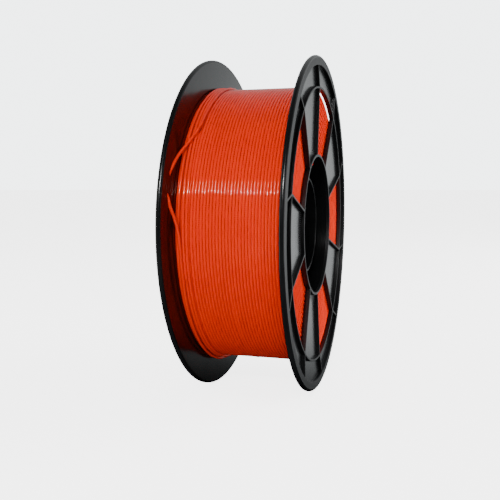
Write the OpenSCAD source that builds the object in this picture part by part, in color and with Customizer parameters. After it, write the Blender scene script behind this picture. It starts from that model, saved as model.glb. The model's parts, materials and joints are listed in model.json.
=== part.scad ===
// Spool of 1.75 mm printing filament, standing on its two rims.
//
// Two moulded halves, each a flange with half of the drum and of the bore
// tube, snap together in the middle. One strand of filament is wound between
// them, and its loose end is laced through two tie holes in the left flange.
//
// Frame: millimetres, X along the spool's axle towards the right flange,
// Z up, origin on the axle half way between the flanges. Angles are measured
// about X from +Y towards +Z, so 180 degrees faces -Y.

/* [Flanges] */
// Outer diameter of each flange
flange_d = 200; // [180:1:220]
// Space between the two rims
inner_w = 60; // [50:1:80]
// Thickness of a rim
rim_t = 3; // [2.9:0.1:4]
// Width of the flat band round a rim
rim_band = 5.5; // [4.5:0.5:8]
// Rounding of a rim's two outer edges
rim_round = 1.4; // [0.6:0.1:1.4]
// How far a flange leans out between its drum and its rim
lean_h = 2; // [0:0.1:3]
// Thickness of a flange's web
web_t = 1; // [0.8:0.1:1.4]

/* [Spokes] */
// Number of spokes in each flange
spokes = 5; // [4:1:7]
// Angle that a spoke fills
spoke_angle = 35; // [24:1:38]
// Place of the right flange's first spoke
first_spoke = 39; // [0:1:71]
// Height of a rib above the web
rib_h = 1.9; // [1:0.1:1.9]
// Width of a rib
rib_w = 1.2; // [1:0.1:2]
// Distance from the rim's flat band to the ring rib round the windows
ring_inset = 12; // [9:0.5:16]
// Angle by which the short ribs outside the ring swing round
swing = 4; // [0:0.5:8]

/* [Hub] */
// Outer diameter of the drum that carries the filament
drum_d = 85.6; // [80:0.2:100]
// Thickness of the drum's wall
drum_wall = 1.5; // [1.2:0.1:2]
// Bore for the holder
bore_d = 55; // [50:1:58]
// Thickness of the bore tube's wall
tube_wall = 1.5; // [1.2:0.1:2]
// How far the bore tube's end lies below the hub ring's top
tube_drop = 6.5; // [3:0.5:12]
// Thickness of each half's inner disc
disc_t = 2; // [1.5:0.1:3]
// Thickness of a gusset between the drum and the bore tube
gusset_t = 1.4; // [1:0.1:2]
// Diameter of the hole in the drum that anchors the filament's first end
anchor_d = 4; // [3:0.5:5]

/* [Snap tabs] */
// Number of spring tabs that hold the halves together
tabs = 5; // [3:1:6]
// Length of a tab past the joint
tab_l = 8; // [7:0.5:12]
// Angle that a tab fills
tab_angle = 24; // [16:1:30]
// Thickness of a tab
tab_t = 1.6; // [1.2:0.1:2]
// How far a tab's lug stands out
lug_h = 0.9; // [0.6:0.1:1]
// Length of a lug along the axle
lug_l = 2; // [1.5:0.1:3]
// Gap round a tab and its lug
snap_gap = 0.1; // [0.1:0.05:0.3]

/* [Filament] */
// Diameter of the filament
filament_d = 1.75; // [1.6:0.05:1.8]
// Diameter over the last full layer
wound_d = 164.4; // [140:0.2:166]
// Turns shown of the last full layer
full_turns = 19.5; // [8.5:1:19.5]
// Whole turns of the short layer that lies on top, next to the left flange
top_turns = 3; // [2:1:5]
// Distance between two turns of the short layer
top_pitch = 2.2; // [2.1:0.05:2.5]
// Diameter of a tie hole
tie_d = 6; // [5:0.5:6.5]
// Distance from the rim's flat band to the middle of a tie hole
tie_inset = 5; // [3.5:0.5:6]

/* [Hidden] */

$fn = 96;
eps = 0.01;
black = [0.07, 0.07, 0.08];
orange = [0.95, 0.27, 0.02];

flange_r = flange_d / 2;
rim_in_r = flange_r - rim_band;
rim_top = inner_w / 2 + rim_t;
ring_r = rim_in_r - ring_inset;
ring_in_r = ring_r - rib_w;
drum_r = drum_d / 2;
drum_in_r = drum_r - drum_wall;
bore_r = bore_d / 2;
tube_r = bore_r + tube_wall;
tube_end = rib_top(drum_r) - tube_drop;
spoke_step = 360 / spokes;
socket_depth = tab_l + 1;
slot_gap = 3 * snap_gap;
lug_flat = 0.5;
gusset_drop = 1.5;

// How far the windows are cut into what borders them, and how far any cutter
// runs past what it cuts.
trim = 0.2;
past = 2;

// Places of the tie holes and the strand between them.
tie_angles = [160.5, 168.5];
tie_r = rim_in_r - tie_inset;

// Place of the anchor hole in the right half's drum.
anchor_angle = 69;
anchor_drop = 7;

// A loop of the winding has 24 rings of 6 sides.
loop_rings = 24;
tube_sides = 6;
ring_step = 360 / loop_rings;
strand_r = filament_d / 2;
flat_r = strand_r * cos(180 / tube_sides);
layer_rise = filament_d * sin(60);
full_r = wound_d / 2 - strand_r;
top_r = full_r + layer_rise;
rest_gap = 0.02;
first_r = drum_r + strand_r;
buried = round((full_r - first_r) / layer_rise);
full_core_r = full_r * cos(ring_step / 2) - flat_r - rest_gap;
top_core_r = top_r * cos(ring_step / 2) - flat_r - rest_gap;

// The strand dips into a groove where a layer begins or ends.
dip = 2.2;
dip_angle = 45;
dip_rings = 6;
groove_gap = 0.3;
groove_w = filament_d + 3 * groove_gap;
groove_floor = dip + strand_r + groove_gap;
groove_run = filament_d / full_r * 180 / PI;

// Route of the layers along the axle: the full layer runs from the right
// flange to the short layer, and the short layer back from the left flange.
side_gap = 0.3;
ridge_h = 0.75 * filament_d;
full_start = 20;
full_first_x = inner_face(full_r) - strand_r - side_gap;
top_start = -15;
top_settled = 120;
top_leave = 110 + 360 * top_turns;
end_lane = -(inner_face(top_r) - strand_r - 2 * side_gap);
outside_x = -(web_top(tie_r) + strand_r + side_gap);
top_last_x = top_x(top_leave);
full_last_x = top_last_x + filament_d + 2 * side_gap;
full_pitch = (full_first_x - full_last_x) / full_turns;
step_x = full_last_x - strand_r - side_gap;

// Route of the loose end as [angle, lift, way]. Lift is 0 on the short layer
// and 1 at the tie holes. Way is 0 at the last turn, 1 beside the left flange
// and 2 outside it. The strand lifts off, crosses the short layer, goes out
// through the first tie hole, comes back through the second and lies down.
loose_end = [
    [116, 0.04, 0], [122, 0.14, 0], [128, 0.27, 0.05], [134, 0.36, 0.17],
    [140, 0.41, 0.36], [146, 0.46, 0.6], [151, 0.55, 0.82], [155, 0.71, 0.97],
    [157.6, 0.84, 1.03], [159.2, 0.92, 1.2], [160.5, 0.97, 1.56], [161.8, 1, 1.85],
    [163.1, 1.02, 1.97], [164.5, 1.03, 2], [165.9, 1.02, 1.97],
    [167.2, 1, 1.85], [168.5, 0.97, 1.56], [169.8, 0.92, 1.2], [171.4, 0.84, 1.03],
    [174, 0.69, 1], [178, 0.46, 1], [183, 0.25, 1], [189, 0.11, 1], [195, 0.02, 1]
];
end_angles = [202, 210, 225, 240, 255, 270, 280];

// Place along X of a flange's inner face, and of its rib tops, at radius r.
function inner_face(r) = inner_w / 2 - lean_h * (flange_r - r) / (flange_r - drum_r);
function web_top(r) = inner_face(r) + web_t;
function rib_top(r) = web_top(r) + rib_h;

function polar(angle, r, x) = [x, r * cos(angle), r * sin(angle)];
function smooth(u) = u * u * (3 - 2 * u);
function between(a, b, u) = a + (b - a) * u;
function full_x(angle) = full_first_x - full_pitch * (angle - full_start) / 360;

// The short layer starts against the flange, moves over by one pitch to leave
// room for the loose end, and then runs as a helix.
function top_x(angle) =
    angle <= top_start ? end_lane
    : angle < top_settled
        ? end_lane + top_pitch * smooth((angle - top_start) / (top_settled - top_start))
    : end_lane + top_pitch * (1 + (angle - top_settled) / 360);

function loose_point(p) =
    polar(
        p[0],
        between(top_r, tie_r, p[1]),
        p[2] < 1 ? between(top_last_x, end_lane, p[2]) : between(end_lane, outside_x, p[2] - 1)
    );

// Turns a shape drawn about +Z so that its axis runs along +X.
module on_axle() {
    rotate([90, 0, 90]) children();
}

// A ring between two radii and two heights.
module ring(r_in, r_out, z0, z1) {
    translate([0, 0, z0])
        difference() {
            cylinder(r = r_out, h = z1 - z0);
            translate([0, 0, -past])
                cylinder(r = r_in, h = z1 - z0 + 2 * past);
        }
}

// Plan view of a leaning band between two radii, from one offset above the
// inner face to another, as drawn for a turned shape.
module leaning_band(r_in, r_out, low, high) {
    polygon([
        [r_in, inner_face(r_in) + low],
        [r_out, inner_face(r_out) + low],
        [r_out, inner_face(r_out) + high],
        [r_in, inner_face(r_in) + high]
    ]);
}

// Section of the rim: a flat band with two rounded outer edges.
module rim_section() {
    round_r = flange_r - rim_round;
    low = inner_face(round_r);
    polygon([
        [rim_in_r, inner_face(rim_in_r)],
        [round_r, low],
        [round_r, rim_top],
        [rim_in_r, rim_top]
    ]);
    translate([round_r - eps, low + rim_round])
        square([rim_round + eps, rim_top - low - 2 * rim_round]);
    translate([round_r, low + rim_round])
        circle(r = rim_round);
    translate([round_r, rim_top - rim_round])
        circle(r = rim_round);
}

// Everything that is turned about the axle: web, rim, ring rib, drum, bore
// tube and inner disc. The disc starts at disc_z, counted from the joint.
module turned_body(disc_z) {
    rotate_extrude() {
        leaning_band(drum_in_r + eps, rim_in_r + eps, 0, web_t);
        leaning_band(ring_in_r, ring_r, 0, web_t + rib_h);
        rim_section();
        translate([drum_in_r, 0])
            square([drum_wall, rib_top(drum_r)]);
        translate([bore_r, 0])
            square([tube_wall, tube_end]);
        translate([tube_r - eps, disc_z])
            square([drum_in_r - tube_r + 2 * eps, disc_t]);
    }
}

// A straight bar in plan between two points given as [angle, radius].
module plan_bar(a, b, width) {
    p = [a[1] * cos(a[0]), a[1] * sin(a[0])];
    q = [b[1] * cos(b[0]), b[1] * sin(b[0])];
    d = q - p;
    translate(p)
        rotate(atan2(d[1], d[0]))
            translate([0, -width / 2])
                square([norm(d), width]);
}

// Plan of one spoke's ribs: one along each edge, which the windows then trim
// to its width, and a swung piece from each out to the rim.
module spoke_ribs() {
    inset = rib_w / 2 / ring_in_r * 180 / PI;
    for (side = [-1, 1]) {
        rotate(side * spoke_angle / 2)
            translate([drum_in_r + drum_wall / 2, side > 0 ? -rib_w : -trim])
                square([ring_r - drum_r - rib_w / 2 + drum_wall / 2, rib_w + trim]);
        plan_bar(
            [side * (spoke_angle / 2 - inset), ring_r - rib_w / 2],
            [side * (spoke_angle / 2 - inset) + swing, rim_in_r + rib_w / 2],
            rib_w
        );
    }
}

// All straight ribs of a flange, cut to the lean of the web.
module ribs() {
    intersection() {
        rotate_extrude()
            leaning_band(drum_in_r + eps, rim_in_r + rib_w, web_t / 2, web_t + rib_h);
        linear_extrude(height = rim_top + past)
            for (k = [0 : spokes - 1])
                rotate(first_spoke + k * spoke_step)
                    spoke_ribs();
    }
}

// The openings between the spokes.
module windows() {
    gap = spoke_step - spoke_angle;
    low = inner_face(drum_r) - past;
    reach = ring_r / cos(gap / 2);
    for (k = [0 : spokes - 1])
        rotate(first_spoke + (k + 0.5) * spoke_step)
            intersection() {
                ring(drum_r + trim, ring_in_r + trim, low, rim_top + past);
                translate([0, 0, low - past])
                    linear_extrude(height = rim_top - low + 3 * past)
                        polygon([
                            [0, 0],
                            [reach * cos(gap / 2), -reach * sin(gap / 2)],
                            [reach * cos(gap / 2), reach * sin(gap / 2)]
                        ]);
            }
}

// Gussets between the drum and the bore tube, standing on the inner disc.
module gussets(disc_z) {
    for (k = [0 : spokes - 1])
        rotate(first_spoke + k * spoke_step)
            translate([tube_r - tube_wall / 2, -gusset_t / 2, disc_z + disc_t / 2])
                cube([
                    drum_in_r - tube_r + tube_wall / 2 + drum_wall / 2,
                    gusset_t,
                    tube_end - gusset_drop - disc_z - disc_t / 2
                ]);
}

// One moulding with its windows, without what differs between the halves.
module moulding(disc_z) {
    difference() {
        union() {
            turned_body(disc_z);
            ribs();
            gussets(disc_z);
        }
        windows();
    }
}

// Spring tabs with their lugs, which reach past the joint into the other half.
module snap_tabs() {
    out_r = drum_in_r - snap_gap;
    for (k = [0 : tabs - 1])
        rotate(k * 360 / tabs - tab_angle / 2) {
            rotate_extrude(angle = tab_angle)
                polygon([
                    [out_r - tab_t, -tab_l],
                    [out_r, -tab_l],
                    [out_r, disc_t / 2],
                    [out_r - tab_t, disc_t / 2]
                ]);
            rotate(tab_angle / 4)
                rotate_extrude(angle = tab_angle / 2)
                    polygon([
                        [out_r - tab_t / 2, -tab_l],
                        [out_r, -tab_l],
                        [out_r + lug_h, -tab_l + lug_l],
                        [out_r + lug_h, -tab_l + lug_l + lug_flat],
                        [out_r - tab_t / 2, -tab_l + lug_l + lug_flat]
                    ]);
        }
}

// Slots in the drum that take the lugs, seen from the half that receives them.
module lug_slots() {
    slot_angle = tab_angle / 2 + 2 * slot_gap / drum_r * 180 / PI;
    for (k = [0 : tabs - 1])
        rotate(180 - k * 360 / tabs - slot_angle / 2)
            rotate_extrude(angle = slot_angle)
                translate([drum_in_r - past, tab_l - lug_l - lug_flat - slot_gap])
                    square([drum_wall + 2 * past, lug_l + lug_flat + slot_gap]);
}

// Right half: flange, drum and bore tube, with the sockets for the tabs.
module right_half() {
    color(black)
        on_axle()
            difference() {
                moulding(socket_depth);
                lug_slots();
                rotate(anchor_angle)
                    translate([drum_in_r - past, 0, rib_top(drum_r) - anchor_drop])
                        rotate([0, 90, 0])
                            cylinder(d = anchor_d, h = drum_wall + 2 * past);
            }
}

// Left half: the same moulding turned round, with the tabs and the tie holes.
module left_half() {
    color(black)
        rotate([0, 0, 180])
            on_axle()
                difference() {
                    union() {
                        moulding(0);
                        snap_tabs();
                    }
                    for (angle = tie_angles)
                        rotate(180 - angle)
                            translate([tie_r, 0, 0])
                                cylinder(d = tie_d, h = rim_top + past);
                }
}

// A groove round part of the winding, with square ends.
module groove(angle, floor_r, x) {
    on_axle()
        rotate(angle)
            rotate_extrude(angle = dip_angle + groove_run)
                translate([floor_r, x - groove_w / 2])
                    square([2 * groove_floor, groove_w]);
}

// Side of the buried layers up to an outer radius, as [r, x]: every second
// layer stands out as a ridge, and the ones between are set back.
function layer_side(outer_r) = concat(
    [[drum_r, inner_face(drum_r) - side_gap - ridge_h]],
    [
        for (k = [0 : buried - 1])
            let (r = between(first_r, full_r, k / buried))
                if (r < outer_r - layer_rise / 2)
                    [r, inner_face(r) - side_gap - (k % 2) * ridge_h]
    ],
    [[outer_r, inner_face(outer_r) - side_gap]]
);

function reversed(list) = [for (i = [len(list) - 1 : -1 : 0]) list[i]];

// The layers under the visible turns, as one block with ridged sides.
module inner_layers() {
    color(orange * 0.85)
        difference() {
            on_axle()
                rotate_extrude()
                    polygon(concat(
                        [for (p = layer_side(top_core_r)) [p[0], -p[1]]],
                        [[top_core_r, step_x], [full_core_r, step_x]],
                        reversed(layer_side(full_core_r))
                    ));
            groove(full_start - dip_angle - groove_run, full_r - groove_floor, full_first_x);
            groove(full_end, full_r - groove_floor, full_last_x);
            groove(top_start - dip_angle - groove_run, top_r - groove_floor, end_lane);
        }
}

// Rings of a tube swept along centre points. Each ring's flat side faces the
// axle, so that the turns lie flat on the layers below.
function direction(route, i) =
    let (
        before = route[max(i - 1, 0)],
        after = route[min(i + 1, len(route) - 1)],
        d = after - before
    ) d / norm(d);

function ring_points(route, i) =
    let (
        p = route[i],
        t = direction(route, i),
        out = [0, p[1], p[2]] / norm([p[1], p[2]]),
        up_raw = out - t * (out * t),
        up = up_raw / norm(up_raw),
        across = cross(t, up)
    ) [
        for (k = [0 : tube_sides - 1])
            let (a = (k + 0.5) * 360 / tube_sides)
                p + strand_r * (up * cos(a) + across * sin(a))
    ];

function tube_points(route) = [for (i = [0 : len(route) - 1]) each ring_points(route, i)];

function tube_faces(count) =
    let (n = tube_sides, last = (count - 1) * tube_sides) concat(
        [for (k = [1 : n - 2]) [0, k + 1, k]],
        [for (k = [1 : n - 2]) [last, last + k, last + k + 1]],
        [
            for (i = [0 : count - 2], k = [0 : n - 1], half = [0, 1])
                let (
                    a = i * n + k,
                    b = i * n + (k + 1) % n
                ) half == 0 ? [a, b, b + n] : [a, b + n, a + n]
        ]
    );

module tube(route) {
    polyhedron(points = tube_points(route), faces = tube_faces(len(route)));
}

// Last full layer: one helix from the right flange towards the left, whose
// two ends dip into grooves in the layers below.
full_end = full_start + 360 * full_turns;
dip_path = [for (i = [0 : dip_rings - 1]) i / dip_rings];
full_route = concat(
    [polar(full_start - dip_angle - groove_run, full_r - dip, full_x(full_start - dip_angle))],
    [
        for (u = dip_path)
            let (angle = full_start - dip_angle * (1 - u))
                polar(angle, full_r - dip * (1 - smooth(u)), full_x(angle))
    ],
    [
        for (i = [0 : loop_rings * full_turns])
            polar(full_start + i * ring_step, full_r, full_x(full_start + i * ring_step))
    ],
    [
        for (i = [dip_rings - 1 : -1 : 0])
            let (u = dip_path[i], angle = full_end + dip_angle * (1 - u))
                polar(angle, full_r - dip * (1 - smooth(u)), full_x(angle))
    ],
    [polar(full_end + dip_angle + groove_run, full_r - dip, full_x(full_end + dip_angle))]
);

// Short top layer and the loose end, as one strand.
top_steps = floor((top_leave - top_start) / ring_step);
last_angle = end_angles[len(end_angles) - 1];
top_route = concat(
    [polar(top_start - dip_angle - groove_run, top_r - dip, end_lane)],
    [
        for (u = dip_path)
            polar(top_start - dip_angle * (1 - u), top_r - dip * (1 - smooth(u)), end_lane)
    ],
    [
        for (i = [0 : top_steps])
            polar(top_start + i * ring_step, top_r, top_x(top_start + i * ring_step))
    ],
    [for (p = loose_end) loose_point(p)],
    [for (angle = end_angles) polar(angle, top_r, end_lane)],
    [polar(last_angle + groove_run, top_r, end_lane)]
);

module outer_turns() {
    color(orange)
        tube(full_route);
}

module top_turns_and_end() {
    color(orange)
        tube(top_route);
}

// Least gap between two stretches of strand that are not neighbours along it.
function point_gap(p, a, b) =
    let (
        ab = b - a,
        u = max(0, min(1, (p - a) * ab / (ab * ab)))
    ) norm(p - a - ab * u) - filament_d;

function self_gap(route, skip) = min([
    for (i = [0 : len(route) - 1], j = [i + skip : min(i + 3 * loop_rings, len(route) - 2)])
        point_gap(route[i], route[j], route[j + 1])
]);

function mutual_gap(one, other) = min([
    for (p = one, j = [0 : len(other) - 2])
        point_gap(p, other[j], other[j + 1])
]);

module report_gaps() {
    echo(outer_turns_gap = self_gap(full_route, 6));
    echo(top_turns_and_end_gap = self_gap(top_route, 6));
    echo(gap_between_them = mutual_gap(top_route, full_route));
}

report_gaps();
right_half();
left_half();
inner_layers();
outer_turns();
top_turns_and_end();
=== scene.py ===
"""Spool of printing filament: two snapped black halves and one wound orange strand.

The spool's own classes hold their sizes in millimetres; meshes, finishes and the
studio are in metres. X runs along the axle towards the right flange and Z is up.
Angles are in degrees, measured about X from +Y towards +Z, so 180 degrees faces -Y.
"""

import json
import logging
import math
from dataclasses import dataclass
from enum import Enum

import bmesh
import bpy
from mathutils import Matrix, Vector

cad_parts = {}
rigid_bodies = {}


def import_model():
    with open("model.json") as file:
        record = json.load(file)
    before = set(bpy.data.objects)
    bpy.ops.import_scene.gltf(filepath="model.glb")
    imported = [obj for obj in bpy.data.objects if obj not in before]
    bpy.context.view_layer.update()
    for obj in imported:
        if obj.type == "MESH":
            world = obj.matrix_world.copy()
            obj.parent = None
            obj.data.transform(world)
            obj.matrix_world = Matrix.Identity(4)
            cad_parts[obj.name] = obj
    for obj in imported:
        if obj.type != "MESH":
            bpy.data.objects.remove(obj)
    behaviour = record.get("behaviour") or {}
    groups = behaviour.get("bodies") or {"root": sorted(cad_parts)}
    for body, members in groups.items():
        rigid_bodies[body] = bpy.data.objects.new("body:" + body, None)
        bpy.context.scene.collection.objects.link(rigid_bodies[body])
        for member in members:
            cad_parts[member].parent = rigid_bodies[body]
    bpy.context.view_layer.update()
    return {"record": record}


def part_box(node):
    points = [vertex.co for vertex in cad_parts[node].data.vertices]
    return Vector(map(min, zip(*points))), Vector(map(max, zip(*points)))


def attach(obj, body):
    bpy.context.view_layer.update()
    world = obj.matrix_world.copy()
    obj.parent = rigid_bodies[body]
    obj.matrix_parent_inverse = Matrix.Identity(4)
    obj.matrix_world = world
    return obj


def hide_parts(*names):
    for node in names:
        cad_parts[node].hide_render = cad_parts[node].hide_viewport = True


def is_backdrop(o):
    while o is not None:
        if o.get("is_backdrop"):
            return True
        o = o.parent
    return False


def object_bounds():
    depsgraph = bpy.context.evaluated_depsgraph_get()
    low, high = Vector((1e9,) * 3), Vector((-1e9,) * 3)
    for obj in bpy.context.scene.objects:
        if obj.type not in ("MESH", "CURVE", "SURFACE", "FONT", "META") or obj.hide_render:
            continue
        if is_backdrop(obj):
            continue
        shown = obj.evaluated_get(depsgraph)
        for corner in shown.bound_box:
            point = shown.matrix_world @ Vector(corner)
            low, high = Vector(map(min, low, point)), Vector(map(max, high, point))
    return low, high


log = logging.getLogger("spool")

MM = 0.001
TAU = 2 * math.pi
# Heights closer than this, in millimetres, are one height.
SAME = 1e-6


class Side(Enum):
    """Which end of the axle a piece is at."""

    RIGHT = 1
    LEFT = -1


def polar(angle: float, radius: float, height: float) -> Vector:
    """Place of a point given about the axle.

    Args:
        angle: Degrees about X from +Y towards +Z.
        radius: Distance from the axle in millimetres.
        height: Place along X in millimetres.

    Returns:
        The point in metres.
    """
    turn = math.radians(angle)
    return Vector((height, radius * math.cos(turn), radius * math.sin(turn))) * MM


def between(low: float, high: float, share: float) -> float:
    """Value a share of the way from low to high."""
    return low + (high - low) * share


# ---------------------------------------------------------------------------
# Node trees
# ---------------------------------------------------------------------------


class Flow:
    """One value in a node tree, with arithmetic that adds Math nodes."""

    def __init__(self, graph: "Graph", socket: bpy.types.NodeSocket) -> None:
        """Keep the tree's graph and the socket that the value comes out of."""
        self.graph = graph
        self.socket = socket

    def math(self, operation: str, *others: "Flow | float") -> "Flow":
        """Add a Math node.

        Args:
            operation: The node's operation.
            others: What goes into the sockets after this value's own.

        Returns:
            The node's result.
        """
        sockets = dict(enumerate((self, *others)))
        return self.graph.flow("ShaderNodeMath", {"operation": operation}, sockets)

    def flipped(self, operation: str, first: float) -> "Flow":
        """Add a Math node whose first socket is a number and whose second is this value."""
        return self.graph.flow("ShaderNodeMath", {"operation": operation}, {0: first, 1: self})

    def __add__(self, other: "Flow | float") -> "Flow":
        """Sum."""
        return self.math("ADD", other)

    __radd__ = __add__

    def __sub__(self, other: "Flow | float") -> "Flow":
        """Difference."""
        return self.math("SUBTRACT", other)

    def __rsub__(self, other: float) -> "Flow":
        """Difference from a number."""
        return self.flipped("SUBTRACT", other)

    def __mul__(self, other: "Flow | float") -> "Flow":
        """Product."""
        return self.math("MULTIPLY", other)

    __rmul__ = __mul__

    def __truediv__(self, other: "Flow | float") -> "Flow":
        """Quotient."""
        return self.math("DIVIDE", other)


class Graph:
    """A node tree that is written to by type, settings and sockets."""

    def __init__(self, tree: bpy.types.NodeTree) -> None:
        """Keep the tree."""
        self.tree = tree

    def node(self, kind: str, settings: dict | None = None, sockets: dict | None = None) -> bpy.types.Node:
        """Add one node.

        Args:
            kind: The node's type.
            settings: Its properties; "stops" is a colour ramp's list of (place, colour).
            sockets: Values or links of its inputs, by name or number.

        Returns:
            The node.
        """
        node = self.tree.nodes.new(kind)
        for name, value in (settings or {}).items():
            if name == "stops":
                self._set_stops(node.color_ramp, value)
            else:
                setattr(node, name, value)
        for key, value in (sockets or {}).items():
            self.feed(node.inputs[key], value)
        return node

    def feed(self, socket: bpy.types.NodeSocket, value: object) -> None:
        """Link a flow or a socket into an input, or set the input's value."""
        if isinstance(value, Flow):
            self.tree.links.new(value.socket, socket)
        elif isinstance(value, bpy.types.NodeSocket):
            self.tree.links.new(value, socket)
        else:
            socket.default_value = value

    def flow(
        self,
        kind: str,
        settings: dict | None = None,
        sockets: dict | None = None,
        output: int | str = 0,
    ) -> Flow:
        """Add one node and return what comes out of it."""
        return Flow(self, self.node(kind, settings, sockets).outputs[output])

    def ease(
        self, value: Flow, low: Flow | float, high: Flow | float, start: float = 0.0, end: float = 1.0
    ) -> Flow:
        """Value that goes smoothly from start to end between two limits."""
        sockets = {"Value": value, "From Min": low, "From Max": high, "To Min": start, "To Max": end}
        return self.flow("ShaderNodeMapRange", {"interpolation_type": "SMOOTHSTEP"}, sockets)

    @staticmethod
    def _set_stops(ramp: bpy.types.ColorRamp, stops: list[tuple[float, tuple]]) -> None:
        """Give a colour ramp its stops."""
        while len(ramp.elements) < len(stops):
            ramp.elements.new(1.0)
        for element, (place, colour) in zip(ramp.elements, stops):
            element.position = place
            element.color = colour


class ShapeTree(Graph):
    """A Geometry Nodes tree with named inputs that ends in a plain mesh."""

    KINDS = {int: "NodeSocketInt", float: "NodeSocketFloat", bpy.types.Material: "NodeSocketMaterial"}

    def __init__(self, name: str, inputs: dict[str, type]) -> None:
        """Make the tree with its inputs, each given by its name and the type of its value."""
        super().__init__(bpy.data.node_groups.new(name, "GeometryNodeTree"))
        face = self.tree.interface
        self.ids = {"Geometry": face.new_socket("Geometry", in_out="INPUT", socket_type="NodeSocketGeometry")}
        for label, kind in {**inputs, "Material": bpy.types.Material}.items():
            self.ids[label] = face.new_socket(label, in_out="INPUT", socket_type=self.KINDS[kind])
        face.new_socket("Geometry", in_out="OUTPUT", socket_type="NodeSocketGeometry")
        self.entry = self.tree.nodes.new("NodeGroupInput")
        self.exit = self.tree.nodes.new("NodeGroupOutput")

    def given(self, name: str) -> Flow:
        """One of the tree's inputs."""
        return Flow(self, self.entry.outputs[name])

    def about_axle(self, angle: Flow, radius: Flow, place: Flow) -> Flow:
        """Point at an angle, a distance from the axle and a place along it."""
        sockets = {"X": place, "Y": radius * angle.math("COSINE"), "Z": radius * angle.math("SINE")}
        return self.flow("ShaderNodeCombineXYZ", sockets=sockets)

    def noise(self, dimensions: str, socket: str, place: Flow) -> Flow:
        """Noise from 0 to 1 along a value or over a plane."""
        sockets = {socket: place, "Scale": 1.0, "Detail": 1.0}
        return self.flow("ShaderNodeTexNoise", {"noise_dimensions": dimensions}, sockets)

    def tube(self, curve: Flow, capped: bool = True) -> None:
        """Give a curve the strand's round section and end the tree."""
        sizes = {"Resolution": self.given("Sides"), "Radius": self.given("Strand radius")}
        section = self.flow("GeometryNodeCurvePrimitiveCircle", sockets=sizes)
        parts = {"Curve": curve, "Profile Curve": section, "Fill Caps": capped}
        self.close(self.flow("GeometryNodeCurveToMesh", sockets=parts))

    def close(self, geometry: Flow) -> None:
        """End the tree in real geometry that carries the material."""
        real = self.flow("GeometryNodeRealizeInstances", sockets={"Geometry": geometry})
        shaded = self.flow("GeometryNodeSetShadeSmooth", sockets={"Geometry": real})
        finish = {"Geometry": shaded, "Material": self.given("Material")}
        dressed = self.flow("GeometryNodeSetMaterial", sockets=finish)
        self.feed(self.exit.inputs["Geometry"], dressed)

    def make(self, name: str, values: dict[str, object], start: bpy.types.Mesh | None = None) -> bpy.types.Object:
        """Run the tree once and keep its result as a plain mesh.

        Args:
            name: The new object's name.
            values: The value of each input.
            start: The mesh that goes in, if the tree uses one.

        Returns:
            The object, at the origin, with no modifier.
        """
        piece = new_object(name, start or bpy.data.meshes.new(name))
        modifier = piece.modifiers.new("shape", "NODES")
        modifier.node_group = self.tree
        for label, value in values.items():
            modifier[self.ids[label].identifier] = value
        settle(piece)
        piece.data.name = name
        return piece


def new_object(name: str, data: bpy.types.ID) -> bpy.types.Object:
    """Link a new object into the scene, with its mesh, light or camera."""
    made = bpy.data.objects.new(name, data)
    bpy.context.scene.collection.objects.link(made)
    return made


def as_mesh(name: str, shape: bmesh.types.BMesh) -> bpy.types.Mesh:
    """Turn a shape that was drawn face by face into a mesh, and free it."""
    made = bpy.data.meshes.new(name)
    shape.to_mesh(made)
    shape.free()
    return made


# ---------------------------------------------------------------------------
# Finishes
# ---------------------------------------------------------------------------


class Paint(Graph):
    """A material's node tree with its Principled shader."""

    def __init__(self, name: str) -> None:
        """Make the material."""
        self.material = bpy.data.materials.new(name)
        self.material.use_nodes = True
        super().__init__(self.material.node_tree)
        self.shader = next(n for n in self.tree.nodes if n.type == "BSDF_PRINCIPLED")
        self.place = self.flow("ShaderNodeTexCoord", output="Object")

    def noise(self, scale: float, detail: float = 2.0, stretch: tuple = (1, 1, 1)) -> Flow:
        """Noise over the surface.

        Args:
            scale: Its patches to the metre.
            detail: How many finer octaves it has.
            stretch: How much its patches are squeezed along each axis.

        Returns:
            A value from 0 to 1.
        """
        placed = self.flow("ShaderNodeMapping", sockets={"Vector": self.place, "Scale": stretch})
        return self.flow("ShaderNodeTexNoise", sockets={"Vector": placed, "Scale": scale, "Detail": detail})

    def ramp(self, value: Flow, low: tuple, high: tuple, start: float, end: float) -> Flow:
        """Turn a value into a colour that goes from low to high between start and end."""
        return self.flow("ShaderNodeValToRGB", {"stops": [(start, low), (end, high)]}, {"Fac": value})

    def set(self, name: str, value: object) -> None:
        """Set or link one of the shader's inputs."""
        self.feed(self.shader.inputs[name], value)

    def bump(self, height: Flow, depth: float, strength: float, under: Flow | None = None) -> Flow:
        """Bump from a height from 0 to 1 that stands for a depth in metres."""
        sockets = {"Height": height, "Distance": depth, "Strength": strength}
        if under is not None:
            sockets["Normal"] = under
        return self.flow("ShaderNodeBump", sockets=sockets)


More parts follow.
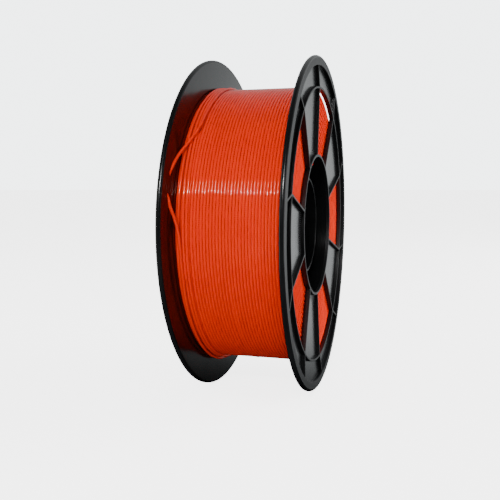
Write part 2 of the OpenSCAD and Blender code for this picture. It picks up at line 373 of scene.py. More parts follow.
@dataclass(frozen=True)
class MouldedPlastic:
    """Black polystyrene as it leaves a mould: semi-gloss, with a fine grain and faint flow marks."""

    dark: tuple = (0.0035, 0.0037, 0.004, 1)
    light: tuple = (0.006, 0.0064, 0.0068, 1)
    gloss: float = 0.17
    scuff: float = 0.07
    density: float = 1.36
    matt: float = 0.24
    matt_x: float = 0.0290
    matt_slope: float = 0.035
    matt_low_r: float = 0.0410
    matt_high_r: float = 0.0986
    hub_r: float = 0.0428

    def make(self) -> bpy.types.Material:
        """Build the material."""
        paint = Paint("spool_black_plastic")
        flow_marks = paint.noise(scale=28, detail=3)
        grain = paint.noise(scale=2600)
        smears = paint.noise(scale=90, detail=4, stretch=(1, 3, 1))
        paint.set("Base Color", paint.ramp(flow_marks, self.dark, self.light, start=0.35, end=0.7))
        paint.set("Roughness", self.gloss + self.scuff * smears + self.matt * self.outer_face(paint))
        paint.set("IOR", self.density)
        waves = paint.bump(flow_marks, depth=0.00002, strength=0.25)
        paint.set("Normal", paint.bump(grain, depth=0.000006, strength=0.3, under=waves))
        return paint.material

    def outer_face(self, paint: Paint) -> Flow:
        """Mask that is 1 on the flanges' outer faces, which the mould leaves less polished."""
        split = paint.node("ShaderNodeSeparateXYZ", sockets={"Vector": paint.place})
        x, y, z = (Flow(paint, out) for out in split.outputs)
        radius = (y * y + z * z).math("SQRT")
        within = radius.math("GREATER_THAN", self.matt_low_r) * radius.math("LESS_THAN", self.matt_high_r)
        level = x.math("ABSOLUTE") - self.matt_slope * (radius - self.hub_r)
        return within * level.math("GREATER_THAN", self.matt_x)


@dataclass(frozen=True)
class FilamentPlastic:
    """Orange filament: glossy and even, with a slightly cloudy tone."""

    name: str = "filament_orange_plastic"
    deep: tuple = (0.72, 0.018, 0.0001, 1)
    bright: tuple = (0.76, 0.023, 0.0001, 1)
    gloss: float = 0.05
    cloud: float = 0.03
    density: float = 1.42

    def make(self) -> bpy.types.Material:
        """Build the material."""
        paint = Paint(self.name)
        tone = paint.noise(scale=60, detail=3)
        paint.set("Base Color", paint.ramp(tone, self.deep, self.bright, start=0.3, end=0.7))
        paint.set("Roughness", self.gloss + self.cloud * paint.noise(scale=700))
        paint.set("IOR", self.density)
        return paint.material


# ---------------------------------------------------------------------------
# The moulded halves
# ---------------------------------------------------------------------------


class Zone(Enum):
    """What a stretch of a flange's plan is, going round it."""

    RIB = "rib"
    WEB = "web"
    WINDOW = "window"


@dataclass(frozen=True)
class SpoolHalf:
    """One moulded half: rim, web, ribs, windows, drum wall, disc, bore tube and gussets."""

    side: Side
    disc_low: float
    flange_r: float
    rim_top: float
    bore_r: float
    tube_top: float
    inner_half: float = 30.0
    lean_out: float = 2.0
    rim_in_r: float = 94.5
    rim_round: float = 1.4
    ring_r: float = 82.5
    rib_w: float = 1.2
    web_t: float = 1.0
    rib_t: float = 2.9
    drum_r: float = 42.8
    drum_in_r: float = 41.3
    tube_wall: float = 1.5
    disc_t: float = 2.0
    gusset_t: float = 1.4
    gusset_drop: float = 1.5
    spokes: int = 5
    spoke_angle: float = 35.0
    first_spoke: float = 39.0
    swing: float = 4.0
    web_steps: int = 22
    window_steps: int = 24
    edge_round: float = 0.22

    def inner_face(self, radius: float) -> float:
        """Height of the flange's leaning inner face at a radius."""
        slope = self.lean_out / (self.flange_r - self.drum_r)
        return self.inner_half - slope * (self.flange_r - radius)

    def rib_edge(self, hand: int, outer: bool, radius: float) -> float:
        """Angle from a spoke's middle to one edge of a rib.

        Args:
            hand: -1 for the spoke's first rib and 1 for its second.
            outer: Whether the edge is the one towards the window.
            radius: Where along the rib.

        Returns:
            Degrees.
        """
        half = self.spoke_angle / 2
        if radius < self.ring_r - self.rib_w / 2:
            inset = 0.0 if outer else math.degrees(math.asin(self.rib_w / radius))
            return hand * (half - inset)
        ring_in_r = self.ring_r - self.rib_w
        inset = math.degrees(self.rib_w / 2 / ring_in_r)
        start = Vector(self._plan(hand * (half - inset), self.ring_r - self.rib_w / 2))
        end = Vector(self._plan(hand * (half - inset) + self.swing, self.rim_in_r + self.rib_w / 2))
        along = (end - start).normalized()
        offset = hand * self.rib_w / 2 * (1 if outer else -1)
        base = start + Vector((-along.y, along.x)) * offset
        reach = min(radius, self.rim_in_r)
        run = -base.dot(along) + math.sqrt(base.dot(along) ** 2 - base.length_squared + reach**2)
        hit = base + along * run
        return math.degrees(math.atan2(hit.y, hit.x))

    @staticmethod
    def _plan(angle: float, radius: float) -> tuple[float, float]:
        """Point of the plan at an angle and a radius."""
        return radius * math.cos(math.radians(angle)), radius * math.sin(math.radians(angle))

    def columns(self) -> list[tuple[Zone, int, float]]:
        """Every column round the flange as its zone, its spoke and the share of its zone."""
        found: list[tuple[Zone, int, float]] = []
        for spoke in range(self.spokes):
            found.append((Zone.RIB, spoke, -1.0))
            found += [(Zone.WEB, spoke, i / self.web_steps) for i in range(self.web_steps)]
            found.append((Zone.RIB, spoke, 1.0))
            found += [(Zone.WINDOW, spoke, i / self.window_steps) for i in range(self.window_steps)]
        return found

    def column_angle(self, column: tuple[Zone, int, float], radius: float) -> float:
        """Angle about the axle at which a column, as its zone, spoke and share, starts at a radius."""
        zone, spoke, share = column
        step = 360 / self.spokes
        middle = self.first_spoke + spoke * step
        if zone is Zone.RIB:
            return middle + self.rib_edge(int(share), share < 0, radius)
        if zone is Zone.WEB:
            ends = self.rib_edge(-1, False, radius), self.rib_edge(1, False, radius)
        else:
            ends = self.rib_edge(1, True, radius), step + self.rib_edge(-1, True, radius)
        return middle + between(*ends, share)

    def plate_rows(self) -> list[tuple[float, dict[Zone, float | None]]]:
        """Rows of the flange's plate as their inner radius and each zone's thickness from there out."""
        ribs, web = self.rib_t, self.web_t
        spoke = {Zone.RIB: ribs, Zone.WEB: web, Zone.WINDOW: None}
        ring = {Zone.RIB: ribs, Zone.WEB: ribs, Zone.WINDOW: ribs}
        outer = {Zone.RIB: ribs, Zone.WEB: web, Zone.WINDOW: web}
        ring_in_r = self.ring_r - self.rib_w
        span = ring_in_r - self.drum_r
        return [
            (self.drum_r, spoke),
            (self.drum_r + span / 3, spoke),
            (self.drum_r + span * 2 / 3, spoke),
            (ring_in_r, ring),
            (self.ring_r, outer),
            ((self.ring_r + self.rim_in_r) / 2, outer),
        ]

    def hub_profile(self) -> list[tuple[float, float]]:
        """Section of drum, disc and tube, from the plate's inner face round to the hub ring's top."""
        tube_r = self.bore_r + self.tube_wall
        disc_top = self.disc_low + self.disc_t
        below = [(self.drum_r, self.inner_face(self.drum_r)), (self.drum_r, 0.0)]
        if self.disc_low > 0:
            low = self.disc_low
            below += [(self.drum_in_r, 0.0), (self.drum_in_r, low), (tube_r, low), (tube_r, 0.0)]
        top = self.inner_face(self.drum_r) + self.rib_t
        return below + [
            (self.bore_r, 0.0),
            (self.bore_r, self.tube_top),
            (tube_r, self.tube_top),
            (tube_r, disc_top),
            (self.drum_in_r, disc_top),
            (self.drum_in_r, top),
            (self.drum_r, top),
        ]

    def rim_profile(self) -> list[tuple[float, float]]:
        """Section of the rim, from its band's inner edge round to the plate's inner face."""
        arc_r = self.flange_r - self.rim_round
        low = self.inner_face(arc_r)
        steps = 6
        quarter = [i * 90 / steps for i in range(steps + 1)]
        upper = [self._round(90 - a, arc_r, self.rim_top - self.rim_round) for a in quarter]
        lower = [self._round(-a, arc_r, low + self.rim_round) for a in quarter]
        return [(self.rim_in_r, self.rim_top), *upper, *lower, (self.rim_in_r, self.inner_face(self.rim_in_r))]

    def _round(self, angle: float, radius: float, height: float) -> tuple[float, float]:
        """Point of the rim's rounded edge."""
        turn = math.radians(angle)
        return radius + self.rim_round * math.cos(turn), height + self.rim_round * math.sin(turn)

    def body(self) -> bmesh.types.BMesh:
        """Build the half's closed skin as drawn for the right flange, in metres."""
        known: dict[tuple, bmesh.types.BMVert] = {}
        mesh = bmesh.new()
        columns = self.columns()
        rows = self.plate_rows()
        radii = [row[0] for row in rows] + [self.rim_in_r]
        count = len(columns)

        def vertex(j: int, radius: float, height: float) -> bmesh.types.BMVert:
            """The one vertex at a column's start, a radius and a height."""
            key = (j % count, round(radius, 4), round(height, 4))
            if key not in known:
                angle = self.column_angle(columns[j % count], radius)
                known[key] = mesh.verts.new(polar(angle, radius, height))
            return known[key]

        def corner(j: int, row: int, offset: float) -> bmesh.types.BMVert:
            """The vertex at a column's start and a row's inner radius, above the inner face."""
            return vertex(j, radii[row], self.inner_face(radii[row]) + offset)

        def thickness(row: int, j: int) -> float | None:
            """A cell's thickness, where the hub and the rim count as the rows at the ends."""
            if row < 0:
                return self.rib_t
            if row == len(rows):
                return self.rim_top - self.inner_face(self.rim_in_r)
            return rows[row][1][columns[j % count][0]]

        def levels(row: int, j: int) -> list[float]:
            """Every thickness that meets at a column's start and a row's inner radius."""
            near = {thickness(r, c) for r in (row - 1, row) for c in (j - 1, j)}
            return sorted({0.0} | {t for t in near if t is not None})

        def wall(first: tuple[int, int], second: tuple[int, int], one: float | None, two: float | None) -> None:
            """Close the step between two neighbouring cells, from one corner to another."""
            low, high = sorted((one or 0.0, two or 0.0))
            if high - low < SAME:
                return
            loop = []
            for (row, j), rising in ((first, True), (second, False)):
                heights = [t for t in levels(row, j) if low - SAME <= t <= high + SAME]
                if not rising:
                    heights.reverse()
                loop += [corner(j, row, t) for t in heights]
            mesh.faces.new(loop)

        for j in range(count):
            for row in range(len(rows)):
                t = thickness(row, j)
                if t is not None:
                    for offset in (0.0, t):
                        cell = ((j, row), (j, row + 1), (j + 1, row + 1), (j + 1, row))
                        mesh.faces.new([corner(*place, offset) for place in cell])
                wall((row, j), (row + 1, j), thickness(row, j - 1), t)
            for row in range(len(rows) + 1):
                wall((row, j), (row, j + 1), thickness(row - 1, j), thickness(row, j))
            for profile in (self.hub_profile(), self.rim_profile()):
                for (r0, h0), (r1, h1) in zip(profile, profile[1:]):
                    cell = ((j, r0, h0), (j, r1, h1), (j + 1, r1, h1), (j + 1, r0, h0))
                    mesh.faces.new([vertex(*place) for place in cell])
        bmesh.ops.recalc_face_normals(mesh, faces=mesh.faces)
        return mesh

    def gusset(self) -> bpy.types.Mesh:
        """One gusset between the drum and the tube, at the first spoke."""
        mesh = bmesh.new()
        bmesh.ops.create_cube(mesh, size=1.0)
        sunk = 0.6
        tube_r = self.bore_r + self.tube_wall
        low = self.disc_low + self.disc_t - sunk
        high = self.tube_top - self.gusset_drop
        inner, outer = tube_r - sunk, self.drum_in_r + sunk
        size = Vector((high - low, outer - inner, self.gusset_t)) * MM
        centre = Vector(((high + low) / 2, (outer + inner) / 2, 0)) * MM
        bmesh.ops.scale(mesh, vec=size, verts=mesh.verts)
        bmesh.ops.translate(mesh, vec=centre, verts=mesh.verts)
        turn = Matrix.Rotation(math.radians(self.first_spoke), 3, "X")
        bmesh.ops.rotate(mesh, cent=(0, 0, 0), matrix=turn, verts=mesh.verts)
        return as_mesh("gusset", mesh)

    def make(
        self, name: str, around: "AroundAxle", holes: list["Hole"], plastic: bpy.types.Material
    ) -> bpy.types.Object:
        """Build the half and finish its edges.

        Args:
            name: The piece's name.
            around: The tree that repeats a shape about the axle.
            holes: Round holes to drill.
            plastic: Its material.

        Returns:
            The finished piece.
        """
        piece = new_object(name, as_mesh(name, self.body()))
        piece.data.materials.append(plastic)
        for hole in holes:
            hole.drill(piece)
        gussets = around.make("gussets", {"Copies": self.spokes, "Material": plastic}, self.gusset())
        join(piece, gussets)
        if self.side is Side.LEFT:
            piece.data.transform(Matrix.Rotation(math.pi, 4, "Z"))
        finish_edges(piece, self.edge_round * MM)
        return piece


@dataclass
class Hole:
    """A round hole given by a point on its axis, its direction, radius and length."""

    centre: Vector
    axis: Vector
    radius: float
    length: float
    sides: int = 32

    def drill(self, piece: bpy.types.Object) -> None:
        """Cut the hole out of a piece."""
        mesh = bmesh.new()
        bmesh.ops.create_cone(
            mesh,
            cap_ends=True,
            segments=self.sides,
            radius1=self.radius * MM,
            radius2=self.radius * MM,
            depth=self.length * MM,
        )
        turn = self.axis.to_track_quat("Z", "Y").to_matrix().to_4x4()
        mesh.transform(Matrix.Translation(self.centre) @ turn)
        cutter = new_object("cutter", as_mesh("cutter", mesh))
        modifier = piece.modifiers.new("hole", "BOOLEAN")
        modifier.operation = "DIFFERENCE"
        modifier.solver = "EXACT"
        modifier.object = cutter
        settle(piece)
        bpy.data.objects.remove(cutter)


class AroundAxle(ShapeTree):
    """Repeats a mesh about the axle at equal angles."""

    def __init__(self) -> None:
        """Build the tree."""
        super().__init__("around_axle", {"Copies": int})
        copies = self.given("Copies")
        points = self.flow("GeometryNodeMeshLine", sockets={"Count": copies, "Offset": (0, 0, 0)})
        turn = self.flow("GeometryNodeInputIndex") * TAU / copies
        facing = self.flow("ShaderNodeCombineXYZ", sockets={"X": turn})
        sockets = {"Points": points, "Instance": self.given("Geometry"), "Rotation": facing}
        self.close(self.flow("GeometryNodeInstanceOnPoints", sockets=sockets))


def settle(piece: bpy.types.Object) -> None:
    """Apply a piece's modifiers to its mesh."""
    bpy.context.view_layer.update()
    graph = bpy.context.evaluated_depsgraph_get()
    made = piece.evaluated_get(graph)
    mesh = bpy.data.meshes.new_from_object(made, preserve_all_data_layers=True, depsgraph=graph)
    piece.modifiers.clear()
    piece.data = mesh


def join(piece: bpy.types.Object, other: bpy.types.Object) -> None:
    """Add another object's mesh to a piece and remove that object."""
    mesh = bmesh.new()
    mesh.from_mesh(piece.data)
    mesh.from_mesh(other.data)
    mesh.to_mesh(piece.data)
    mesh.free()
    bpy.data.objects.remove(other)


def finish_edges(piece: bpy.types.Object, radius: float, sharp: float = 40.0) -> None:
    """Round a moulded piece's edges and shade it smoothly.

    Args:
        piece: The piece.
        radius: The edges' rounding in metres.
        sharp: Degrees between two faces from which their edge is rounded.
    """
    bevel = piece.modifiers.new("edges", "BEVEL")
    bevel.width = radius
    bevel.segments = 2
    bevel.limit_method = "ANGLE"
    bevel.angle_limit = math.radians(sharp)
    for polygon in piece.data.polygons:
        polygon.use_smooth = True
    normals = piece.modifiers.new("normals", "WEIGHTED_NORMAL")
    normals.keep_sharp = True
    settle(piece)
    piece.data.name = piece.name


# ---------------------------------------------------------------------------
# The filament
# ---------------------------------------------------------------------------


class Turns(ShapeTree):
    """Winds a strand about the axle as one helix whose two ends dip into the layer below."""

    # Noise patches to the turn, and the turns that an end and the slack turn take to settle.
    DRIFT = 1.7
    DIP_TURNS = 0.12
    SLACK_RISE = 0.1
    SLACK_FALL = (0.12, 0.2)

    def __init__(self) -> None:
        """Build the tree."""
        sizes = (
            "First angle", "Turns", "Radius", "First place", "Pitch", "Strand radius",
            "Wander", "Dip", "Hug", "Loose turn", "Loose gap", "Seed",
        )  # fmt: skip
        super().__init__("wound_turns", {**dict.fromkeys(sizes, float), "Steps": int, "Sides": int})
        steps, turns = self.given("Steps"), self.given("Turns")
        points = self.flow("GeometryNodeMeshLine", sockets={"Count": turns * steps + 1})
        turn = self.flow("GeometryNodeInputIndex") / steps
        angle = turn * TAU + self.given("First angle")
        drift = self.noise("1D", "W", turn * self.DRIFT + self.given("Seed"))
        hug = self.given("Hug")
        left_over = turns - turn
        first_step = self.ease(turn, hug, 1.0) + (turn - 1).math("MAXIMUM", 0.0)
        last_step = self.ease(left_over, hug, 1.0) + (left_over - 1).math("MAXIMUM", 0.0)
        laid_turns = first_step + turns - last_step - turn
        free = self.ease(turn, hug, hug + 1) * self.ease(left_over, hug, hug + 1)
        loose = self.given("Loose turn")
        start, end = self.SLACK_FALL
        tight = 1 - self.ease(turn, loose + start, loose + end)
        slack = self.ease(turn, loose - self.SLACK_RISE, loose) * tight
        place = (
            self.given("First place")
            + self.given("Pitch") * laid_turns
            + self.given("Wander") * (drift - 0.5) * free
            + self.given("Loose gap") * slack
        )
        into = self.ease(turn, 0.0, self.DIP_TURNS)
        out_of = self.ease(left_over, 0.0, self.DIP_TURNS)
        rise = self.given("Loose gap") * slack * 0.5
        radius = self.given("Radius") - self.given("Dip") * (2 - into - out_of) + rise
        path = self.about_axle(angle, radius, place)
        laid = self.flow("GeometryNodeSetPosition", sockets={"Geometry": points, "Position": path})
        self.tube(self.flow("GeometryNodeMeshToCurve", sockets={"Mesh": laid}))


class EndRings(ShapeTree):
    """Stacks the end turns of the buried layers, each set back or forward by half a strand."""

    # How fast the noise that moves a ring changes along it, and from one layer to the next.
    DRIFT = 1.3
    SPREAD = 7.1

    def __init__(self) -> None:
        """Build the tree."""
        sizes = ("First radius", "Rise", "First place", "Lean", "Stagger", "Strand radius", "Wander", "Seed")
        super().__init__("layer_ends", {**dict.fromkeys(sizes, float), "Layers": int, "Steps": int, "Sides": int})
        steps = self.given("Steps")
        index = self.flow("GeometryNodeInputIndex")
        layer = (index / steps).math("FLOOR")
        turn = index / steps - layer
        radius = self.given("First radius") + self.given("Rise") * layer
        odd = layer.math("MODULO", 2.0)
        angle = turn * TAU
        across = angle.math("COSINE") * self.DRIFT + layer * self.SPREAD + self.given("Seed")
        spot = self.flow("ShaderNodeCombineXYZ", sockets={"X": across, "Y": angle.math("SINE") * self.DRIFT})
        drift = self.noise("2D", "Vector", spot)
        place = (
            self.given("First place")
            + self.given("Lean") * layer
            - self.given("Stagger") * odd
            + self.given("Wander") * (drift - 0.5)
        )
        path = self.about_axle(angle, radius, place)
        ring = self.flow("GeometryNodeCurvePrimitiveCircle", sockets={"Resolution": steps, "Radius": 1.0})
        spots = self.flow("GeometryNodeMeshLine", sockets={"Count": self.given("Layers"), "Offset": (0, 0, 0)})
        copies = self.flow("GeometryNodeInstanceOnPoints", sockets={"Points": spots, "Instance": ring})
        rings = self.flow("GeometryNodeRealizeInstances", sockets={"Geometry": copies})
        laid = self.flow("GeometryNodeSetPosition", sockets={"Geometry": rings, "Position": path})
        self.tube(laid, capped=False)


class Strand(ShapeTree):
    """Gives a path of straight pieces the round section of the filament."""

    def __init__(self) -> None:
        """Build the tree."""
        super().__init__("strand", {"Strand radius": float, "Sides": int})
        self.tube(self.flow("GeometryNodeMeshToCurve", sockets={"Mesh": self.given("Geometry")}))


@dataclass
class Winding:
    """The filament on the spool: buried layers, the last full layer, and a short layer with the loose end."""

    half: SpoolHalf
    strand_d: float = 1.63
    wound_d: float = 164.4
    full_start: float = 92.0
    full_turns: float = 32.8
    hug_turns: float = 0.83
    wander: float = 0.02
    loose_turn: float = 17.37
    loose_gap: float = 0.35
    steps: int = 180
    sides: int = 12
    ring_gap: float = 0.06
    ring_wander: float = 0.25
    ring_steps: int = 144
    ring_sides: int = 8
    core_inset: float = 1.9
    core_gap: float = 0.05
    core_drop: float = 0.4

    # The end turns press this far into the flanges, so that no light shows between them.
    PRESS = 0.04
    # Angle and place of the drum's anchor hole, its radius, and the radii that its strand passes.
    ANCHOR = (69, 23.9)
    ANCHOR_R = 2.0
    ANCHORED = (45.5, 43.0, 39.2)
    # Angles of the tie holes, how far out they are, and their radius.
    TIES = (160.6, 167.9)
    TIE_R = 91.5
    TIE_HOLE_R = 1.5

    # Route of the short layer and the loose end. Each row is an angle, a height above
    # the short layer's own radius, and a place along X.
    ROUTE = (
        (20, -1.48, -28.3), (60, 0, -27.6), (110, 0, -27.2), (165, 0, -27.3), (180, 0, -27.3), (188, 0, -27.75),
        (205, 0, -27.75), (260, 0, -27.6), (330, 0, -27.3), (400, 0, -26.2), (480, 0, -25.2), (521, 0, -25.0),
        (535, 0, -24.65), (585, 0, -24.5), (660, 0, -24.5), (740, 0, -24.0), (840, 0, -23.45), (881, 0, -22.9),
        (895, 0, -22.75), (945, 0, -22.65), (1020, 0, -22.6), (1100, 0, -22.2), (1200, 0, -21.75),
        (1207, 0, -22.0), (1211, 0.3, -22.05), (1213.8, 0.75, -21.9), (1216.3, 1.2, -21.75),
        (1219.1, 1.55, -22.2), (1221.9, 1.8, -23.15), (1225, 1.9, -24.9), (1228.5, 2.4, -27.0),
        (1232.4, 4.3, -28.6), (1235.5, 6.4, -29.1), (1238.6, 8.2, -29.6), (1240.6, 8.6, -30.4),
        (1242.2, 8.5, -31.1), (1244.3, 8.4, -31.5), (1246.2, 8.5, -31.2), (1247.6, 8.6, -30.5),
        (1249, 8.3, -29.7), (1251.3, 7.1, -29.05), (1254.5, 5.0, -27.65), (1258.3, 3.1, -26.55),
        (1262, 2.2, -25.95), (1266, 1.8, -25.75), (1270, 1.6, -25.7), (1277, 1.6, -25.6),
        (1286, 1.6, -25.95), (1297, 1.6, -26.1), (1305, 1.6, -26.1), (1330, 1.5, -26.1),
        (1350, 1.4, -26.1), (1366, 1.3, -26.1),
    )  # fmt: skip

    @property
    def strand_r(self) -> float:
        """Radius of the filament."""
        return self.strand_d / 2

    @property
    def rise(self) -> float:
        """Distance between two nested layers."""
        return self.strand_d * math.sin(math.radians(60))

    @property
    def full_r(self) -> float:
        """Radius of the last full layer's centre line."""
        return self.wound_d / 2 - self.strand_r

    @property
    def top_r(self) -> float:
        """Radius of the short layer's centre line."""
        return self.full_r + self.rise

    def anchor_hole(self) -> Hole:
        """Hole through the drum's wall for the strand's inner end."""
        angle, place = self.ANCHOR
        wall_r = (self.half.drum_r + self.half.drum_in_r) / 2
        return Hole(polar(angle, wall_r, place), polar(angle, 1.0, 0.0) / MM, self.ANCHOR_R, length=6.0)

    def tie_holes(self) -> list[Hole]:
        """Holes for the loose end, as drawn before the left half is turned round."""
        axle = Vector((1, 0, 0))
        spots = [polar(180 - angle, self.TIE_R, self.half.inner_half) for angle in self.TIES]
        return [Hole(spot, axle, self.TIE_HOLE_R, length=8.0) for spot in spots]

    def along_route(self) -> list[Vector]:
        """Points of the short layer and the loose end, every couple of degrees."""
        rows = self.ROUTE
        ends = [rows[0], *rows, rows[-1]]
        points = []
        for before, a, b, after in zip(ends, ends[1:], ends[2:], ends[3:]):
            span = b[0] - a[0]
            steps = max(2, round(span * self.steps / 360))
            for i in range(steps):
                u = i / steps
                lift, place = (
                    self._hermite(a[k], b[k], span * (b[k] - before[k]) / (b[0] - before[0]),
                                  span * (after[k] - a[k]) / (after[0] - a[0]), u)
                    for k in (1, 2)
                )  # fmt: skip
                points.append(polar(a[0] + span * u, self.top_r + lift, place))
        angle, lift, place = rows[-1]
        return [*points, polar(angle, self.top_r + lift, place)]

    @staticmethod
    def _hermite(low: float, high: float, low_slope: float, high_slope: float, u: float) -> float:
        """Value a share of the way along a smooth step with given slopes at its ends."""
        bend = 2 * u**3 - 3 * u * u
        return low * (1 + bend) - high * bend + low_slope * (u**3 - 2 * u * u + u) + high_slope * (u**3 - u * u)

    def last_layer(self, turns: Turns, filament: bpy.types.Material) -> bpy.types.Object:
        """Wind the last full layer from the right flange to the left."""
        first = self.half.inner_face(self.full_r) - self.strand_r + self.PRESS
        pitch = -2 * first / self.full_turns
        values = {
            "First angle": math.radians(self.full_start),
            "Turns": self.full_turns,
            "Radius": self.full_r * MM,
            "First place": first * MM,
            "Pitch": pitch * MM,
            "Strand radius": self.strand_r * MM,
            "Wander": self.wander * MM,
            "Dip": self.strand_d * MM,
            "Hug": self.hug_turns,
            "Loose turn": self.loose_turn,
            "Loose gap": self.loose_gap * MM,
            "Seed": 3.0,
            "Steps": self.steps,
            "Sides": self.sides,
            "Material": filament,
        }
        return turns.make("last_full_layer", values)

    def buried_layers(self, rings: EndRings, strand: Strand, filament: bpy.types.Material) -> bpy.types.Object:
        """Build the sides of the buried layers and the core that they close off."""
        first_r = self.half.drum_r + self.strand_r
        layers = round((self.full_r - first_r) / self.rise)
        rise = (self.full_r - first_r) / layers
        slope = self.half.lean_out / (self.half.flange_r - self.half.drum_r)
        first_x = self.half.inner_face(first_r) - self.strand_r - self.ring_gap
        piece = new_object("buried_layers", self.core(filament))
        for side in Side:
            sign = side.value
            values = {
                "First radius": first_r * MM,
                "Rise": rise * MM,
                "First place": sign * first_x * MM,
                "Lean": sign * slope * rise * MM,
                "Stagger": sign * self.strand_r * MM,
                "Strand radius": self.strand_r * MM,
                "Wander": self.ring_wander * MM,
                "Seed": 5.0 + sign,
                "Layers": layers,
                "Steps": self.ring_steps,
                "Sides": self.ring_sides,
                "Material": filament,
            }
            join(piece, rings.make("layer_ends", values))
        join(piece, self.anchored_end(strand, filament))
        return piece

    def anchored_end(self, strand: Strand, filament: bpy.types.Material) -> bpy.types.Object:
        """Build the strand's inner end, which sticks through the drum's anchor hole."""
        points = [polar(self.ANCHOR[0], radius, self.ANCHOR[1]) for radius in self.ANCHORED]
        return self._strung("anchored_end", points, strand, filament)

    def core(self, filament: bpy.types.Material) -> bpy.types.Mesh:
        """Closed ring of the buried layers' inside."""
        low_r, high_r = self.half.drum_r + self.core_gap, self.full_r - self.strand_r * self.core_drop
        corners = [
            (radius, sign * (self.half.inner_face(radius) - self.core_inset))
            for radius, sign in ((low_r, -1), (high_r, -1), (high_r, 1), (low_r, 1))
        ]
        mesh = bmesh.new()
        rings = [
            [mesh.verts.new(polar(i * 360 / self.steps, radius, height)) for i in range(self.steps)]
            for radius, height in corners
        ]
        for k, ring in enumerate(rings):
            following = rings[(k + 1) % len(rings)]
            for i in range(self.steps):
                j = (i + 1) % self.steps
                mesh.faces.new([ring[i], ring[j], following[j], following[i]])
        bmesh.ops.recalc_face_normals(mesh, faces=mesh.faces)
        made = as_mesh("core", mesh)
        made.materials.append(filament)
        return made

    def short_layer(self, strand: Strand, filament: bpy.types.Material) -> bpy.types.Object:
        """Wind the short layer and lace its end through the tie holes."""
        return self._strung("short_layer_and_end", self.along_route(), strand, filament)

    def _strung(
        self, name: str, points: list[Vector], strand: Strand, filament: bpy.types.Material
    ) -> bpy.types.Object:
        """Run the filament through a list of points."""
        path = bpy.data.meshes.new("path")
        path.from_pydata(points, [(i, i + 1) for i in range(len(points) - 1)], [])
        values = {"Strand radius": self.strand_r * MM, "Sides": self.sides, "Material": filament}
        return strand.make(name, values, path)


# ---------------------------------------------------------------------------
# The studio
# ---------------------------------------------------------------------------


@dataclass
class Lamp:
    """A soft area light that faces the spool, with its place and size in metres."""

    name: str
    place: tuple
    size: tuple
    power: float
    mirrored: bool = True

    def make(self) -> bpy.types.Object:
        """Build the light."""
        data = bpy.data.lights.new(self.name, "AREA")
        data.shape = "RECTANGLE"
        data.size, data.size_y = self.size
        data.energy = self.power
        lamp = new_object(self.name, data)
        lamp.location = self.place
        lamp.visible_glossy = self.mirrored
        lamp.visible_camera = False
        lamp.rotation_euler = Vector(self.place).to_track_quat("Z", "Y").to_euler()
        return lamp


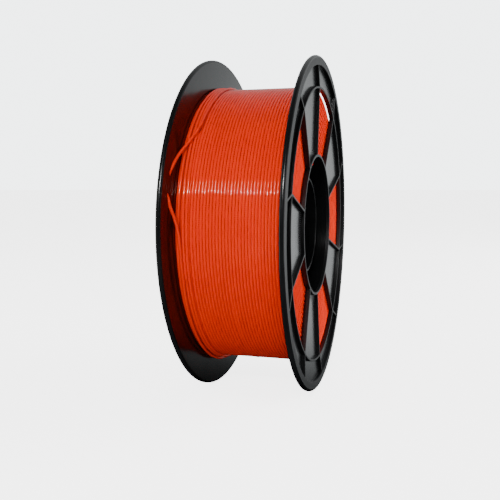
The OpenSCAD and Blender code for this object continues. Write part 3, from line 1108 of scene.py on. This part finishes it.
@dataclass
class Studio:
    """Camera, floor, lights and the pale surroundings."""

    camera_place: tuple = (0.1049, -0.4064, 0.0256)
    camera_turn: tuple = (84.30, 0.0, 16.11)
    lens: float = 48.46
    floor_r: float = 12.0
    floor_glow: float = 3.9
    floor_tone: tuple = (0.86, 0.86, 0.86, 1)
    room_tone: tuple = (0.95, 0.99, 1.0, 1)
    backdrop: float = 4.6
    room_back: float = 1.1
    room_low_back: float = 0.0
    room_high_back: float = 0.5
    room_front: float = 0.04
    room_low_front: float = 0.09

    def make(self, floor_level: float) -> None:
        """Build the studio, with its floor at a height in metres."""
        self.camera()
        self.floor(floor_level)
        self.surroundings()
        for lamp in self.lamps():
            lamp.make()

    def camera(self) -> None:
        """Build the camera."""
        data = bpy.data.cameras.new("camera")
        data.sensor_width = 36.0
        data.lens = self.lens
        camera = new_object("camera", data)
        camera.location = self.camera_place
        camera.rotation_euler = [math.radians(a) for a in self.camera_turn]
        bpy.context.scene.camera = camera

    def floor(self, level: float) -> None:
        """Build the floor."""
        mesh = bmesh.new()
        bmesh.ops.create_circle(mesh, cap_ends=True, segments=96, radius=self.floor_r)
        bmesh.ops.translate(mesh, vec=(0, 0, level), verts=mesh.verts)
        floor = new_object("floor", as_mesh("floor", mesh))
        paint = Paint("floor_paper")
        paint.set("Base Color", self.floor_tone)
        paint.set("Roughness", 0.9)
        paint.set("Emission Color", (1, 1, 1, 1))
        paint.set("Emission Strength", self.floor_glow)
        floor.data.materials.append(paint.material)
        floor.visible_diffuse = False
        floor.visible_glossy = False
        floor.visible_shadow = False
        floor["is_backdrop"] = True

    def surroundings(self) -> None:
        """Light the room: bright behind the spool and dim on the camera's side."""
        world = bpy.data.worlds.new("room")
        world.use_nodes = True
        bpy.context.scene.world = world
        room = Graph(world.node_tree)
        background = next(n for n in room.tree.nodes if n.type == "BACKGROUND")
        direction = room.flow("ShaderNodeTexCoord", output="Generated")
        split = room.node("ShaderNodeSeparateXYZ", sockets={"Vector": direction})
        depth, height = Flow(room, split.outputs["Y"]), Flow(room, split.outputs["Z"])
        seen = room.flow("ShaderNodeLightPath", output="Is Camera Ray")
        back = room.ease(depth, -0.1, 0.7)
        behind = room.ease(height, -0.30, -0.17, self.room_low_back, self.room_back)
        above = room.ease(height, 0.02, 0.3, 1.0, self.room_high_back)
        before = room.ease(height, -0.3, 0.1, self.room_low_front, self.room_front)
        lit = behind * above * back + before * (1 - back)
        strength = lit * (1 - seen) + self.backdrop * seen
        room.feed(background.inputs["Color"], self.room_tone)
        room.feed(background.inputs["Strength"], strength)

    def lamps(self) -> list[Lamp]:
        """The soft lights."""
        return [
            Lamp("strip", (0.10, -1.20, 0.765), (0.34, 0.15), 4.0),
            Lamp("bar", (0.10, -1.30, 0.676), (0.34, 0.036), 10.5),
            Lamp("low_fill", (0.15, -1.1, -0.45), (1.6, 0.6), 12.0, mirrored=False),
            Lamp("high_fill", (0.10, -0.80, 1.20), (0.8, 0.5), 7.0, mirrored=False),
            Lamp("right_end", (1.00, 0.15, 0.10), (0.7, 0.7), 3.5),
            Lamp("left_end", (-0.95, -0.25, 0.05), (0.8, 0.8), 4.5),
            Lamp("side_fill", (1.1, 0.55, 0.2), (0.8, 0.6), 22.0, mirrored=False),
        ]


# ---------------------------------------------------------------------------
# Assembly
# ---------------------------------------------------------------------------


def dress(piece: bpy.types.Object, node: str) -> None:
    """Let a piece stand for a node of the spool's frame.

    Args:
        piece: The piece.
        node: The node that it stands for.
    """
    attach(piece, "root")
    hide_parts(node)
    log.info("%s: %d faces, stands for %s", piece.name, len(piece.data.polygons), node)


def main() -> None:
    """Build the spool around its frame."""
    logging.basicConfig(level=logging.INFO, format="%(message)s")
    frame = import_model()
    low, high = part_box("right_half")
    bore = next(m for m in frame["record"]["mounts"] if m["name"] == "hub_bore")
    Studio().make(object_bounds()[0].z)

    plastic = MouldedPlastic().make()
    filament = FilamentPlastic().make()
    dull_filament = FilamentPlastic("filament_orange_buried", gloss=0.5, density=1.12).make()
    around = AroundAxle()
    sizes = {
        "flange_r": high.y / MM,
        "rim_top": high.x / MM,
        "bore_r": bore["dims"]["r_mm"],
        "tube_top": bore["dims"]["length_mm"] / 2,
    }
    right = SpoolHalf(side=Side.RIGHT, disc_low=9.0, **sizes)
    left = SpoolHalf(side=Side.LEFT, disc_low=0.0, **sizes)
    winding = Winding(half=right)
    dress(right.make("right_moulding", around, [winding.anchor_hole()], plastic), "right_half")
    dress(left.make("left_moulding", around, winding.tie_holes(), plastic), "left_half")

    strand = Strand()
    dress(winding.buried_layers(EndRings(), strand, dull_filament), "inner_layers")
    dress(winding.last_layer(Turns(), filament), "outer_turns")
    dress(winding.short_layer(strand, filament), "top_turns_and_end")


if __name__ == "__main__":
    main()
